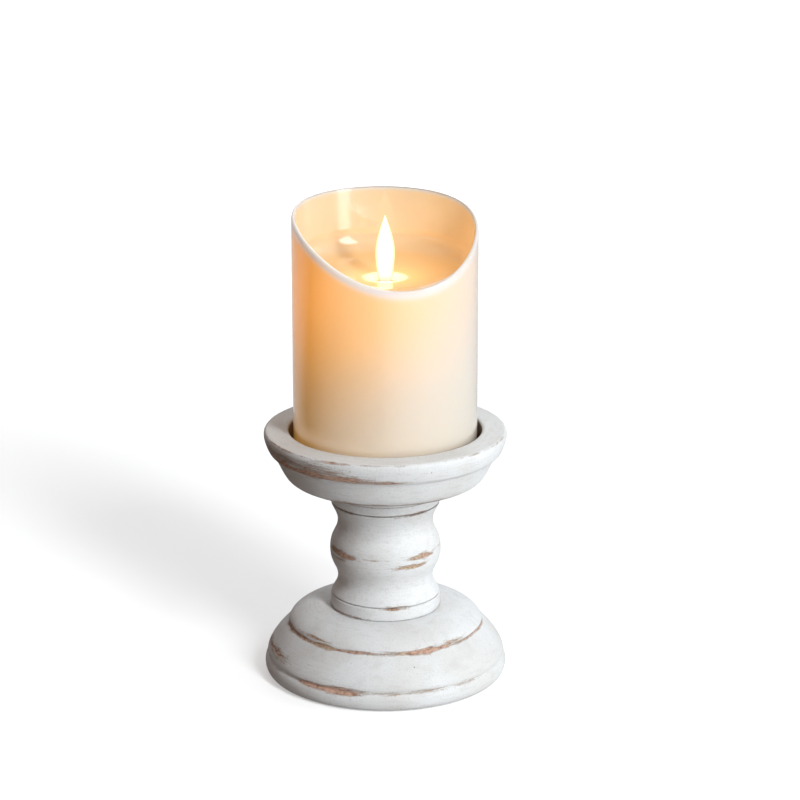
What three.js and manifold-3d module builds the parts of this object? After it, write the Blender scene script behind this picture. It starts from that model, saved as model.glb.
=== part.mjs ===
// A turned wooden pillar-candle holder with the battery candle that stands in its dish.
// Millimetres, +Z up. The origin is on the turning axis, at the underside of the felt pad.
import * as THREE from 'three';
import { mergeVertices } from 'three/addons/utils/BufferGeometryUtils.js';
import Module from 'manifold-3d';

const wasm = await Module();
wasm.setup();

// ---------------------------------------------------------------- driving dimensions

const GAP = 0.3;                    // clearance between pieces that touch on the real object
const TURNED_SIDES = 36;            // sides of a large turned piece
const RIM_SIDES = 44;               // sides of the pieces that follow the candle's rim
const SMALL_SIDES = 16;             // sides of a small round piece

// Holder: a foot, a spindle and a dish, one above the other
const FOOT_BOTTOM = 0.4;            // the felt stands this much proud of the wood
const FOOT_EDGE_RADIUS = 47.9;      // where the foot's rounded lower tier meets its underside
const FOOT_CREASE = { radius: 49.0, height: 8.0 };
const FOOT_STEP = { radius: 40.0, height: 21.6 };
const NECK_RADIUS = 22.7;           // end rings of the spindle
const FOOT_TOP = 28.6;
const SPINDLE_TOP = 80.6;
const LOW_GROOVE_HEIGHT = 34.3;
const HIGH_GROOVE_HEIGHT = 73.8;
const COLLAR_HEIGHT = 77.6;         // a finer groove, under the collar that carries the dish
const COVE_RADIUS = 19.7;
const COVE_OFFSET = 12.2;           // from the bead's middle to the middle of each cove
const BEAD_RADIUS = 22.9;
const BEAD_HEIGHT = 53.65;
const GROOVE_DEPTH = 0.9;
const DISH_TOP = 105;
const DISH_RADIUS = 49.4;
const DISH_LIP_DROP = 0.4;          // the lip falls slightly towards its outer edge
const DISH_BAND = { radius: 47.6, height: 96.3 };
const DISH_GROOVE = { radius: 45.3, height: 94.3 };
const RECESS_RADIUS = 39.5;
const RECESS_DEPTH = 8;
const RECESS_FLOOR = DISH_TOP - RECESS_DEPTH;

// Joinery inside the holder
const TENON_RADIUS = 11;
const FOOT_TENON = 14;              // length of the spindle's lower tenon
const DISH_TENON = 8.4;             // length of its upper tenon
const SCREW_SHANK_RADIUS = 2.2;
const SCREW_HEAD_RADIUS = 4.6;
const SCREW_HOLE_RADIUS = 2.7;
const COUNTERSINK_RADIUS = 5.4;
const FELT_RADIUS = 36;
const FELT_HOLE_RADIUS = 8;
const FELT_THICKNESS = 1.7;
const PLUG_RADIUS = 6.6;
const PLUG_THICKNESS = 3.4;

// Candle
const CANDLE_RADIUS = 37.5;
const CANDLE_WALL = 2.5;
const CANDLE_BOTTOM = RECESS_FLOOR + GAP;
const CANDLE_HEIGHT = 98.4;         // to the outer edge of the rim, at the back
const RIM_DROP = 25.7;              // how far the rim dips at its lowest point
const RIM_LOW_ANGLE = THREE.MathUtils.degToRad(-76);
const RIM_STEEPNESS = 1.0;
const RIM_ROUND = 1.6;              // the inner edge of the rim stands above the outer one
const POOL_FLOOR = 168;
const POOL_UNDERSIDE = 165.5;
const POOL_EDGE_HEIGHT = 178;       // the bowl's edge on the wall, except where the rim dips below it
const POOL_RIM_OFFSET = 0.9;        // there it is cut off this far above the rim's outer edge
const POOL_OPENING = 5.5;

// Flame
const PIVOT_HEIGHT = 161;
const FLAME_TIP = 193.5;
const FLAME_HALF_WIDTH = 4;
const FLAME_WIDEST_HEIGHT = 178.5;
const FLAME_STALK_HALF_WIDTH = 1.9;
const FLAME_BASE = { halfWidth: 3.1, height: 169 };    // where the blade rises out of the pool
const FLAME_THICKNESS = 1.6;
const FLAME_TAIL = 150.5;
const WIRE_RADIUS = 0.35;
const MAGNET = { radius: 2.6, height: 3 };

// Inside the candle
const CAP_THICKNESS = 3;
const CAP_BOTTOM = CANDLE_BOTTOM + GAP;
const CAP_TOP = CAP_BOTTOM + CAP_THICKNESS;
const COVER_CENTRE_Y = 4;
const COVER_RADIUS = 25.4;
const COVER_BOTTOM = CAP_BOTTOM + GAP;
const LUG_REACH = 26.9;
const LUG_HEIGHT = 1.4;
const LUG_HALF_ANGLE = THREE.MathUtils.degToRad(9);
const LOCK_ANGLE = THREE.MathUtils.degToRad(30);
const COVER_TOP = CAP_TOP + GAP + LUG_HEIGHT;
const CELL = { radius: 5.2, length: 44.5, spread: 5.7 };
const BATTERY_BOX = { length: 55, width: 25, wall: 1.3, bottom: COVER_TOP + GAP, height: 13.4 };
const CELL_HEIGHT = BATTERY_BOX.bottom + 6;
const CHASSIS = { radius: 33.8, bottom: BATTERY_BOX.bottom + BATTERY_BOX.height + GAP, thickness: 2 };
const CHASSIS_TOP = CHASSIS.bottom + CHASSIS.thickness;
const POST = { radius: 2.9, hole: 1.5, circle: 30.9 };
const POST_ANGLES = [0, 180, 235, 305].map(THREE.MathUtils.degToRad);
const HOUSING = { skirt: 19.4, cup: 15, wall: 1.4, floor: 139, top: POOL_UNDERSIDE - GAP };
const BOARD = { radius: 17, bottom: 124, thickness: 1.6 };
const BOARD_TOP = BOARD.bottom + BOARD.thickness;
const COIL = { inner: 2.7, outer: 7, height: 4.2 };
const SWITCH = { y: -26.5, slot: 9.4, knob: 3.4, travel: 3 };
const LED = { radius: 2.5, length: 7.5, tilt: THREE.MathUtils.degToRad(24), x: 5.4, y: -7 };

// ---------------------------------------------------------------- materials

const finish = (color, roughness, metalness = 0) =>
  new THREE.MeshStandardMaterial({ color, roughness, metalness });

const WHITEWASH = () => finish(0xe9e8ea, 0.75);
const BARE_WOOD = () => finish(0xb08a63, 0.7);
const FELT = () => finish(0x4f4a45, 0.95);
const STEEL = () => finish(0xb9bbbd, 0.35, 1);
const COPPER = () => finish(0xb87333, 0.35, 1);
const IVORY = () => finish(0xf6dfb8, 0.3);
const FLAME_PLASTIC = () => finish(0xfff3d0, 0.4);
const BLACK_PLASTIC = () => finish(0x1d1d1f, 0.5);
const CREAM_PLASTIC = () => finish(0xe9dcc0, 0.5);
const CLEAR_PLASTIC = () => finish(0xf3ead2, 0.15);
const BOARD_GREEN = () => finish(0x1f5a3a, 0.45);
const CELL_JACKET = () => finish(0x8a8f94, 0.35, 0.6);

// ---------------------------------------------------------------- shape helpers

const candlestick = new THREE.Group();

function addPiece(name, geometry, material) {
  const piece = new THREE.Mesh(geometry, material);
  piece.name = name;
  candlestick.add(piece);
  return piece;
}

// Revolves a profile about +Z. Each point is [radius, height], drawn with the material on its
// left, so an outer wall runs upwards.
function turned(points, sides = TURNED_SIDES) {
  const profile = points.map(([radius, height]) => new THREE.Vector2(radius, height));
  const geometry = new THREE.LatheGeometry(profile, sides);
  geometry.rotateX(Math.PI / 2);
  return geometry;
}

// The same for a profile that never touches the axis: it closes on its own first point.
const turnedRing = (points, sides) => turned([...points, points[0]], sides);

const tube = (inner, outer, bottom, top, sides) =>
  turnedRing([[inner, bottom], [outer, bottom], [outer, top], [inner, top]], sides);

const rod = (radius, bottom, top, sides = SMALL_SIDES) =>
  turned([[0, bottom], [radius, bottom], [radius, top], [0, top]], sides);

const block = (width, depth, bottom, top) =>
  new THREE.BoxGeometry(width, depth, top - bottom).translate(0, 0, (top + bottom) / 2);

// Points of a Bezier stretch from one [radius, height] to another.
function bend(start, startPull, endPull, end, steps) {
  const [a, b, c, d] = [start, startPull, endPull, end].map((point) => new THREE.Vector2(...point));
  return new THREE.CubicBezierCurve(a, b, c, d).getPoints(steps).map(({ x, y }) => [x, y]);
}

// A length of round wire or lead along a smooth route of [x, y, z] points.
function strand(route, radius, steps, sides = 6) {
  const path = new THREE.CatmullRomCurve3(route.map((point) => new THREE.Vector3(...point)));
  const section = new THREE.Shape();
  for (let side = 0; side < sides; side += 1) {
    const angle = (2 * Math.PI * side) / sides;
    const corner = [radius * Math.cos(angle), radius * Math.sin(angle)];
    if (side === 0) {
      section.moveTo(...corner);
    } else {
      section.lineTo(...corner);
    }
  }
  section.closePath();
  return new THREE.ExtrudeGeometry(section, { extrudePath: path, steps, bevelEnabled: false });
}

function toSolid(geometry) {
  const bare = geometry.clone();
  bare.deleteAttribute('normal');
  bare.deleteAttribute('uv');
  const merged = mergeVertices(bare, 1e-4);
  return new wasm.Manifold(new wasm.Mesh({
    numProp: 3,
    vertProperties: new Float32Array(merged.attributes.position.array),
    triVerts: new Uint32Array(merged.index.array),
  }));
}

function toGeometry(solid) {
  const { vertProperties, triVerts } = solid.getMesh();
  const geometry = new THREE.BufferGeometry();
  geometry.setAttribute('position', new THREE.BufferAttribute(vertProperties, 3));
  geometry.setIndex(new THREE.BufferAttribute(triVerts, 1));
  return geometry;
}

const cut = (geometry, ...cutters) =>
  toGeometry(cutters.reduce((solid, cutter) => solid.subtract(toSolid(cutter)), toSolid(geometry)));

const join = (geometry, ...others) =>
  toGeometry(others.reduce((solid, other) => solid.add(toSolid(other)), toSolid(geometry)));

// ---------------------------------------------------------------- holder

function footGeometry() {
  const rollPull = 50.6;
  const creaseDepth = 0.3;
  const socketFloor = FOOT_TOP - FOOT_TENON - GAP;
  const recessCeiling = FELT_THICKNESS + GAP;
  const sinkDepth = COUNTERSINK_RADIUS - SCREW_HOLE_RADIUS;
  const sinkBottom = 5;
  return turnedRing([
    [COUNTERSINK_RADIUS, sinkBottom],
    [COUNTERSINK_RADIUS, recessCeiling],
    [FELT_RADIUS + GAP, recessCeiling],
    [FELT_RADIUS + GAP, FOOT_BOTTOM],
    ...bend([FOOT_EDGE_RADIUS, FOOT_BOTTOM], [rollPull, 1.2], [rollPull, 6.2],
      [FOOT_CREASE.radius + 0.1, FOOT_CREASE.height - 0.5], 5),
    [FOOT_CREASE.radius - creaseDepth, FOOT_CREASE.height],
    ...bend([FOOT_CREASE.radius - 0.1, FOOT_CREASE.height + 0.5], [50.1, 10.9], [44.1, 18.2],
      [FOOT_STEP.radius + 0.3, FOOT_STEP.height - 0.5], 6),
    ...bend([FOOT_STEP.radius, FOOT_STEP.height], [41, 24.6], [31, 30.9], [NECK_RADIUS - 0.4, FOOT_TOP], 6),
    [TENON_RADIUS + GAP, FOOT_TOP],
    [TENON_RADIUS + GAP, socketFloor],
    [SCREW_HOLE_RADIUS, socketFloor],
    [SCREW_HOLE_RADIUS, sinkBottom + sinkDepth],
  ]);
}

function stemGeometry() {
  const bottom = FOOT_TOP + GAP;
  const top = SPINDLE_TOP - GAP;
  const grooveHalf = 0.4;
  const shoulder = NECK_RADIUS - 0.3;
  const chamfer = 0.3;
  const pilotDepth = 30;
  const tenonBottom = bottom - FOOT_TENON;
  const tenonTop = top + DISH_TENON;
  const lowCove = [COVE_RADIUS, BEAD_HEIGHT - COVE_OFFSET];
  const highCove = [COVE_RADIUS, BEAD_HEIGHT + COVE_OFFSET];
  const bead = [BEAD_RADIUS, BEAD_HEIGHT];
  const covePull = 5;
  const beadPull = 6.5;
  return turnedRing([
    [SCREW_HOLE_RADIUS, tenonBottom],
    [TENON_RADIUS, tenonBottom],
    [TENON_RADIUS, bottom],
    [NECK_RADIUS - chamfer, bottom],
    [NECK_RADIUS, bottom + 1.2],
    [NECK_RADIUS, LOW_GROOVE_HEIGHT - grooveHalf],
    [NECK_RADIUS - GROOVE_DEPTH, LOW_GROOVE_HEIGHT],
    ...bend([shoulder, LOW_GROOVE_HEIGHT + grooveHalf], [shoulder - 1, LOW_GROOVE_HEIGHT + 2.6],
      [COVE_RADIUS, lowCove[1] - 3], lowCove, 3),
    ...bend(lowCove, [COVE_RADIUS, lowCove[1] + covePull], [BEAD_RADIUS, BEAD_HEIGHT - beadPull],
      bead, 5).slice(1),
    ...bend(bead, [BEAD_RADIUS, BEAD_HEIGHT + beadPull], [COVE_RADIUS, highCove[1] - covePull],
      highCove, 5).slice(1),
    ...bend(highCove, [COVE_RADIUS, highCove[1] + 3], [shoulder - 1, HIGH_GROOVE_HEIGHT - 2.6],
      [shoulder, HIGH_GROOVE_HEIGHT - grooveHalf], 3).slice(1),
    [NECK_RADIUS - GROOVE_DEPTH, HIGH_GROOVE_HEIGHT],
    [NECK_RADIUS - chamfer, HIGH_GROOVE_HEIGHT + grooveHalf],
    [NECK_RADIUS - chamfer, COLLAR_HEIGHT - 0.3],
    [NECK_RADIUS - 2 * chamfer, COLLAR_HEIGHT],
    [NECK_RADIUS, COLLAR_HEIGHT + 0.3],
    [NECK_RADIUS, top],
    [TENON_RADIUS, top],
    [TENON_RADIUS, tenonTop],
    [SCREW_HOLE_RADIUS, tenonTop],
    [SCREW_HOLE_RADIUS, tenonBottom + 2 * pilotDepth],
  ]);
}

function dishGeometry() {
  const socketCeiling = SPINDLE_TOP + DISH_TENON + GAP;
  const plugFloor = RECESS_FLOOR - PLUG_THICKNESS - GAP;
  const sinkDepth = COUNTERSINK_RADIUS - SCREW_HOLE_RADIUS;
  const lip = DISH_TOP - DISH_LIP_DROP;
  return turnedRing([
    [TENON_RADIUS + GAP, socketCeiling],
    [TENON_RADIUS + GAP, SPINDLE_TOP],
    ...bend([NECK_RADIUS + 0.3, SPINDLE_TOP], [42.4, 84.9], [38.9, 81.8],
      [DISH_GROOVE.radius, DISH_GROOVE.height], 7),
    [DISH_GROOVE.radius + 0.6, DISH_GROOVE.height + 1],
    ...bend([DISH_BAND.radius, DISH_BAND.height], [48.6, 98], [50.3, 102.2],
      [DISH_RADIUS, lip - 0.6], 5),
    [DISH_RADIUS - 0.5, lip],
    [RECESS_RADIUS + 0.6, DISH_TOP],
    [RECESS_RADIUS, DISH_TOP - 0.6],
    [RECESS_RADIUS, RECESS_FLOOR],
    [PLUG_RADIUS + GAP, RECESS_FLOOR],
    [PLUG_RADIUS + GAP, plugFloor],
    [COUNTERSINK_RADIUS, plugFloor],
    [SCREW_HOLE_RADIUS, plugFloor - sinkDepth],
    [SCREW_HOLE_RADIUS, socketCeiling],
  ]);
}

// A countersunk wood screw with its head down, its drive slot cut across the head.
function woodScrewGeometry(headBottom, length) {
  const headHeight = SCREW_HEAD_RADIUS - SCREW_SHANK_RADIUS;
  const tipHeight = 4;
  const body = turned([
    [0, headBottom],
    [SCREW_HEAD_RADIUS, headBottom],
    [SCREW_SHANK_RADIUS, headBottom + headHeight],
    [SCREW_SHANK_RADIUS, headBottom + length - tipHeight],
    [0, headBottom + length],
  ], SMALL_SIDES);
  return cut(body, block(2.4 * SCREW_HEAD_RADIUS, 1, headBottom - 1, headBottom + 0.9));
}

function addHolder() {
  addPiece('base', footGeometry(), WHITEWASH());
  addPiece('stem', stemGeometry(), WHITEWASH());
  addPiece('dish', dishGeometry(), WHITEWASH());
  addPiece('felt_pad', tube(FELT_HOLE_RADIUS, FELT_RADIUS, 0, FELT_THICKNESS), FELT());

  addPiece('base_screw', woodScrewGeometry(FELT_THICKNESS + 2, 38), STEEL());
  const dishScrewLength = 22;
  const dishScrewTop = RECESS_FLOOR - PLUG_THICKNESS - 2 * GAP;
  const dishScrew = addPiece('dish_screw', woodScrewGeometry(0, dishScrewLength), STEEL());
  dishScrew.rotation.x = Math.PI;
  dishScrew.position.z = dishScrewTop;

  const plugTop = RECESS_FLOOR;
  addPiece('screw_plug', rod(PLUG_RADIUS, plugTop - PLUG_THICKNESS, plugTop, 24), BARE_WOOD());
}

// ---------------------------------------------------------------- candle shell and pool

// Height of the rim's outer edge at an angle about the axis: it dips at the front.
function rimHeight(angle) {
  const turn = 1 - Math.cos(angle - RIM_LOW_ANGLE);
  const rise = Math.tanh(RIM_STEEPNESS * turn) / Math.tanh(2 * RIM_STEEPNESS);
  return CANDLE_BOTTOM + CANDLE_HEIGHT - RIM_DROP * (1 - rise);
}

// Moves a geometry's points above a height down with the dip of the rim.
function followRim(geometry, aboveHeight) {
  const rim = CANDLE_BOTTOM + CANDLE_HEIGHT;
  const position = geometry.attributes.position;
  for (let index = 0; index < position.count; index += 1) {
    const height = position.getZ(index);
    if (height > aboveHeight) {
      const angle = Math.atan2(position.getY(index), position.getX(index));
      position.setZ(index, height - rim + rimHeight(angle));
    }
  }
  return geometry;
}

function shellGeometry() {
  const inner = CANDLE_RADIUS - CANDLE_WALL;
  const rim = CANDLE_BOTTOM + CANDLE_HEIGHT;
  const shell = turnedRing([
    [inner, CANDLE_BOTTOM],
    [CANDLE_RADIUS - 0.8, CANDLE_BOTTOM],
    [CANDLE_RADIUS, CANDLE_BOTTOM + 0.8],
    [CANDLE_RADIUS, rim - 0.8],
    [CANDLE_RADIUS - 0.3, rim + 0.3 * RIM_ROUND],
    [CANDLE_RADIUS - 0.9, rim + 0.7 * RIM_ROUND],
    [CANDLE_RADIUS - 1.7, rim + RIM_ROUND],
    [inner + 0.2, rim + RIM_ROUND],
    [inner, rim + RIM_ROUND - 0.5],
  ], RIM_SIDES);
  return followRim(shell, rim - RIM_DROP);
}

// A shallow bowl that curves up into the wall. Its edge is cut off where the rim dips below it.
function poolGeometry() {
  const edge = CANDLE_RADIUS - CANDLE_WALL - GAP;
  const bowl = turnedRing([
    [POOL_OPENING, POOL_UNDERSIDE],
    [edge, POOL_UNDERSIDE],
    [edge, POOL_EDGE_HEIGHT],
    ...bend([edge - 0.4, POOL_EDGE_HEIGHT], [edge - 1.2, POOL_FLOOR + 2.2], [25, POOL_FLOOR + 0.6],
      [14, POOL_FLOOR + 0.1], 7),
    [POOL_OPENING, POOL_FLOOR],
  ], RIM_SIDES);
  const cutFrom = CANDLE_BOTTOM + CANDLE_HEIGHT + POOL_RIM_OFFSET;
  const aboveRim = tube(POOL_OPENING + 4, edge + 4, cutFrom, cutFrom + 30, RIM_SIDES);
  return cut(bowl, followRim(aboveRim, 0));
}

// ---------------------------------------------------------------- flame

// A flat teardrop blade on a stalk, with a tail below the pivot. The wire runs along Y.
function flameGeometry() {
  const stalkTop = POOL_UNDERSIDE - 1;
  const tipHalfWidth = 0.2;
  const { halfWidth, height } = FLAME_BASE;
  const side = [
    [FLAME_STALK_HALF_WIDTH, FLAME_TAIL],
    ...bend([FLAME_STALK_HALF_WIDTH, stalkTop], [FLAME_STALK_HALF_WIDTH, stalkTop + 1.5],
      [halfWidth - 0.2, height - 2], [halfWidth, height], 3),
    ...bend([halfWidth, height], [halfWidth + 0.3, height + 3],
      [FLAME_HALF_WIDTH, FLAME_WIDEST_HEIGHT - 4], [FLAME_HALF_WIDTH, FLAME_WIDEST_HEIGHT], 4).slice(1),
    ...bend([FLAME_HALF_WIDTH, FLAME_WIDEST_HEIGHT], [FLAME_HALF_WIDTH, FLAME_WIDEST_HEIGHT + 5],
      [1.5, FLAME_TIP - 3.5], [tipHalfWidth, FLAME_TIP], 6).slice(1),
  ];
  const otherSide = side.map(([x, z]) => [-x, z]).reverse();
  const outline = new THREE.Shape([...side, ...otherSide].map(([x, z]) => new THREE.Vector2(x, z)));

  const wireHole = new THREE.Path();
  wireHole.absarc(0, PIVOT_HEIGHT, 2.4 * WIRE_RADIUS, 0, 2 * Math.PI, true);
  outline.holes.push(wireHole);

  const options = { depth: FLAME_THICKNESS, bevelEnabled: false, curveSegments: 6 };
  const geometry = new THREE.ExtrudeGeometry(outline, options);
  geometry.translate(0, 0, -FLAME_THICKNESS / 2);
  geometry.rotateX(Math.PI / 2);
  return geometry;
}

function addFlame() {
  const magnetTop = FLAME_TAIL - GAP;
  addPiece('flame', flameGeometry(), FLAME_PLASTIC());
  addPiece('flame_magnet', rod(MAGNET.radius, magnetTop - MAGNET.height, magnetTop, 12), STEEL());
}

// ---------------------------------------------------------------- flame mechanism

function housingGeometry() {
  const { skirt, cup, wall, floor, top } = HOUSING;
  const body = turned([
    [0, floor],
    [skirt - wall, floor],
    [skirt - wall, CHASSIS_TOP + GAP],
    [skirt, CHASSIS_TOP + GAP],
    [skirt, floor + wall],
    [cup, floor + wall],
    [cup, top],
    [cup - wall, top],
    [cup - wall, floor + wall],
    [0, floor + wall],
  ], 32);
  const wireHole = rod(WIRE_RADIUS + GAP, -skirt, skirt, 8);
  wireHole.rotateX(Math.PI / 2);
  wireHole.translate(0, 0, PIVOT_HEIGHT);
  const leadHole = rod(1.3, floor - 1, floor + 2 * wall, 8);
  leadHole.translate(-9, 0, 0);
  return cut(body, wireHole, leadHole);
}

function addLed() {
  const holderInner = LED.radius + GAP;
  const holderOuter = holderInner + 1.4;
  const lens = turned([
    [0, 0],
    [LED.radius, 0],
    [LED.radius, LED.length - LED.radius],
    ...bend([LED.radius, LED.length - LED.radius + 0.1], [LED.radius, LED.length - 0.9],
      [1.4, LED.length], [0, LED.length], 3).slice(1),
  ], 12);
  const socket = tube(holderInner, holderOuter, 0.4, 4.2, 12);
  const tiltTowardsFlame = new THREE.Group();
  tiltTowardsFlame.position.set(LED.x, LED.y, PIVOT_HEIGHT - 6.5);
  tiltTowardsFlame.rotation.set(-LED.tilt, -LED.tilt * 0.7, 0);
  candlestick.add(tiltTowardsFlame);
  tiltTowardsFlame.add(addPiece('led', lens, CLEAR_PLASTIC()));
  tiltTowardsFlame.add(addPiece('led_holder', socket, BLACK_PLASTIC()));
}

function addMechanism() {
  addPiece('mechanism_housing', housingGeometry(), BLACK_PLASTIC());

  const wire = rod(WIRE_RADIUS, -HOUSING.cup + 0.5, HOUSING.cup - 0.5, 8);
  wire.rotateX(Math.PI / 2);
  wire.translate(0, 0, PIVOT_HEIGHT);
  addPiece('flame_wire', wire, STEEL());

  const coilBottom = HOUSING.floor + HOUSING.wall + GAP;
  const coilTop = coilBottom + COIL.height;
  addPiece('drive_coil', tube(COIL.inner, COIL.outer, coilBottom, coilTop, 20), COPPER());
  addPiece('coil_core', rod(COIL.inner - GAP, coilBottom, coilTop - 0.4, 12), STEEL());
  addLed();
}

// ---------------------------------------------------------------- electronics

function addBoard() {
  addPiece('circuit_board', rod(BOARD.radius, BOARD.bottom, BOARD_TOP, 28), BOARD_GREEN());
  const chip = block(8, 6, BOARD_TOP + GAP, BOARD_TOP + GAP + 1.6).translate(4, -3, 0);
  addPiece('board_chip', chip, BLACK_PLASTIC());
  const capacitor = rod(2.5, BOARD_TOP + GAP, BOARD_TOP + GAP + 8, 12).translate(-7, 6, 0);
  addPiece('board_capacitor', capacitor, CELL_JACKET());
}

function chassisGeometry() {
  const plate = rod(CHASSIS.radius, CHASSIS.bottom, CHASSIS_TOP, TURNED_SIDES);
  const postBottom = CAP_TOP + GAP;
  const posts = [];
  const holes = [];
  for (const angle of POST_ANGLES) {
    const x = POST.circle * Math.cos(angle);
    const y = POST.circle * Math.sin(angle);
    posts.push(rod(POST.radius, postBottom, CHASSIS_TOP - 0.5, 12).translate(x, y, 0));
    holes.push(rod(POST.hole, postBottom - 1, postBottom + 9, 8).translate(x, y, 0));
  }
  const leadHoles = [[-10, 4], [10, 4], [0, -13]].map(([x, y]) =>
    rod(1.4, CHASSIS.bottom - 1, CHASSIS_TOP + 1, 8).translate(x, y, 0));
  return cut(join(plate, ...posts), ...holes, ...leadHoles);
}

// Coils standing on a leaf between each cell's flat end and the box's end wall.
function contactSpring(y) {
  const turns = 3;
  const pointsPerTurn = 8;
  const length = 3.4;
  const start = -CELL.length / 2 - length - 0.5;
  const route = [];
  for (let step = 0; step <= turns * pointsPerTurn; step += 1) {
    const along = step / (turns * pointsPerTurn);
    const angle = 2 * Math.PI * turns * along;
    const radius = 3.6 - 1.4 * along;
    route.push([
      start + 0.35 + (length - 0.5) * along,
      y + radius * Math.cos(angle),
      CELL_HEIGHT + radius * Math.sin(angle),
    ]);
  }
  return strand(route, 0.3, 30, 5);
}

function cellGeometry(y) {
  const half = CELL.length / 2;
  const cell = turned([
    [0, -half],
    [CELL.radius - 0.6, -half],
    [CELL.radius, -half + 0.6],
    [CELL.radius, half - 1.6],
    [CELL.radius - 0.6, half - 1],
    [1.9, half - 1],
    [1.9, half],
    [0, half],
  ], 20);
  cell.rotateY(Math.PI / 2);
  return cell.translate(0, y, CELL_HEIGHT);
}

function batteryBoxGeometry() {
  const { length, width, wall, bottom, height } = BATTERY_BOX;
  const outer = block(length, width, bottom, bottom + height);
  const inner = block(length - 2 * wall, width - 2 * wall, bottom - 1, bottom + height - wall);
  return cut(outer, inner).translate(0, COVER_CENTRE_Y, 0);
}

function addBatteries() {
  addPiece('battery_box', batteryBoxGeometry(), BLACK_PLASTIC());
  const plateX = CELL.length / 2 + 0.7;
  for (const [suffix, side] of [['a', -1], ['b', 1]]) {
    const y = COVER_CENTRE_Y + side * CELL.spread;
    addPiece(`battery_${suffix}`, cellGeometry(y), CELL_JACKET());
    addPiece(`contact_spring_${suffix}`, contactSpring(y), STEEL());
    const plate = new THREE.BoxGeometry(0.4, 8, 8).translate(plateX, y, CELL_HEIGHT);
    addPiece(`contact_plate_${suffix}`, plate, STEEL());
  }
}

function addLeads() {
  const boxTop = BATTERY_BOX.bottom + BATTERY_BOX.height + GAP;
  const boardUnderside = BOARD.bottom - GAP;
  const powerLeads = [['battery_lead_red', 10, 0xb3261e], ['battery_lead_black', -10, 0x202020]];
  for (const [name, x, color] of powerLeads) {
    const route = [[x, 4, boxTop], [x, 4, CHASSIS_TOP], [0.8 * x, 3, boardUnderside - 1.5],
      [0.8 * x, 3, boardUnderside]];
    addPiece(name, strand(route, 0.6, 8), finish(color, 0.5));
  }
  const switchTop = CAP_TOP + 8.6;
  const switchRoute = [[0, SWITCH.y, switchTop], [0, -21, switchTop + 2.2], [0, -13.6, CHASSIS.bottom - 1],
    [0, -13, CHASSIS_TOP], [0, -12, boardUnderside]];
  addPiece('switch_lead', strand(switchRoute, 0.8, 14), finish(0xd8d8d8, 0.5));
}

// ---------------------------------------------------------------- candle underside

// A wedge of a disc about the cover's own axis, used for lugs and for the notches they pass.
function wedge(outerRadius, halfAngle, middleAngle, bottom, top) {
  const outline = new THREE.Shape();
  const start = middleAngle - halfAngle;
  outline.moveTo(0, 0);
  outline.lineTo(outerRadius * Math.cos(start), outerRadius * Math.sin(start));
  outline.absarc(0, 0, outerRadius, start, middleAngle + halfAngle, false);
  outline.closePath();
  const options = { depth: top - bottom, bevelEnabled: false, curveSegments: 4 };
  return new THREE.ExtrudeGeometry(outline, options).translate(0, 0, bottom);
}

const LUG_ANGLES = [90, 210, 330].map(THREE.MathUtils.degToRad);

function bottomCapGeometry() {
  const outer = CANDLE_RADIUS - CANDLE_WALL - GAP;
  const plate = rod(outer, CAP_BOTTOM, CAP_TOP, TURNED_SIDES);
  const below = CAP_BOTTOM - 1;
  const above = CAP_TOP + 1;
  const opening = rod(COVER_RADIUS + GAP, below, above, TURNED_SIDES).translate(0, COVER_CENTRE_Y, 0);
  const notches = LUG_ANGLES.map((angle) =>
    wedge(LUG_REACH + GAP, LUG_HALF_ANGLE * 1.25, angle + LOCK_ANGLE, below, above)
      .translate(0, COVER_CENTRE_Y, 0));
  const screwHoles = POST_ANGLES.map((angle) => turned([
    [0, below],
    [2.6, below],
    [2.6, CAP_BOTTOM + 1.6],
    [1.5, CAP_BOTTOM + 1.6],
    [1.5, above],
    [0, above],
  ], 12).translate(POST.circle * Math.cos(angle), POST.circle * Math.sin(angle), 0));
  const switchSlot = block(SWITCH.slot, SWITCH.knob + 2 * GAP, below, above).translate(0, SWITCH.y, 0);
  return cut(plate, opening, ...notches, ...screwHoles, switchSlot);
}

// A disc with three bayonet lugs above the cap's plate and a coin slot across its underside.
function batteryCoverGeometry() {
  const disc = rod(COVER_RADIUS, COVER_BOTTOM, COVER_TOP, TURNED_SIDES);
  const lugs = LUG_ANGLES.map((angle) =>
    wedge(LUG_REACH, LUG_HALF_ANGLE, angle, COVER_TOP - LUG_HEIGHT, COVER_TOP));
  const coinSlot = block(22, 2.4, COVER_BOTTOM - 1, COVER_BOTTOM + 1.3);
  return cut(join(disc, ...lugs), coinSlot).translate(0, COVER_CENTRE_Y, 0);
}

function switchKnobGeometry() {
  const flangeBottom = CAP_TOP + GAP;
  const handle = block(SWITCH.knob, SWITCH.knob, CAP_BOTTOM + 0.5, flangeBottom + 0.5);
  const flange = block(SWITCH.slot + SWITCH.travel, SWITCH.knob + 2, flangeBottom, flangeBottom + 1);
  return join(handle, flange).translate(-SWITCH.travel / 2, SWITCH.y, 0);
}

function addUnderside() {
  addPiece('bottom_cap', bottomCapGeometry(), CREAM_PLASTIC());
  POST_ANGLES.forEach((angle, index) => {
    const screw = turned([
      [0, CAP_BOTTOM + 0.3],
      [2.2, CAP_BOTTOM + 0.3],
      [2.2, CAP_BOTTOM + 1.3],
      [1.1, CAP_BOTTOM + 1.3],
      [1.1, CAP_BOTTOM + 9],
      [0, CAP_BOTTOM + 10.5],
    ], 12).translate(POST.circle * Math.cos(angle), POST.circle * Math.sin(angle), 0);
    addPiece(`cap_screw_${index + 1}`, screw, STEEL());
  });
  const switchBody = block(14, 6, CAP_TOP + 2 * GAP + 1.2, CAP_TOP + 7.5).translate(0, SWITCH.y, 0);
  addPiece('switch_body', switchBody, BLACK_PLASTIC());
}

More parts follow.
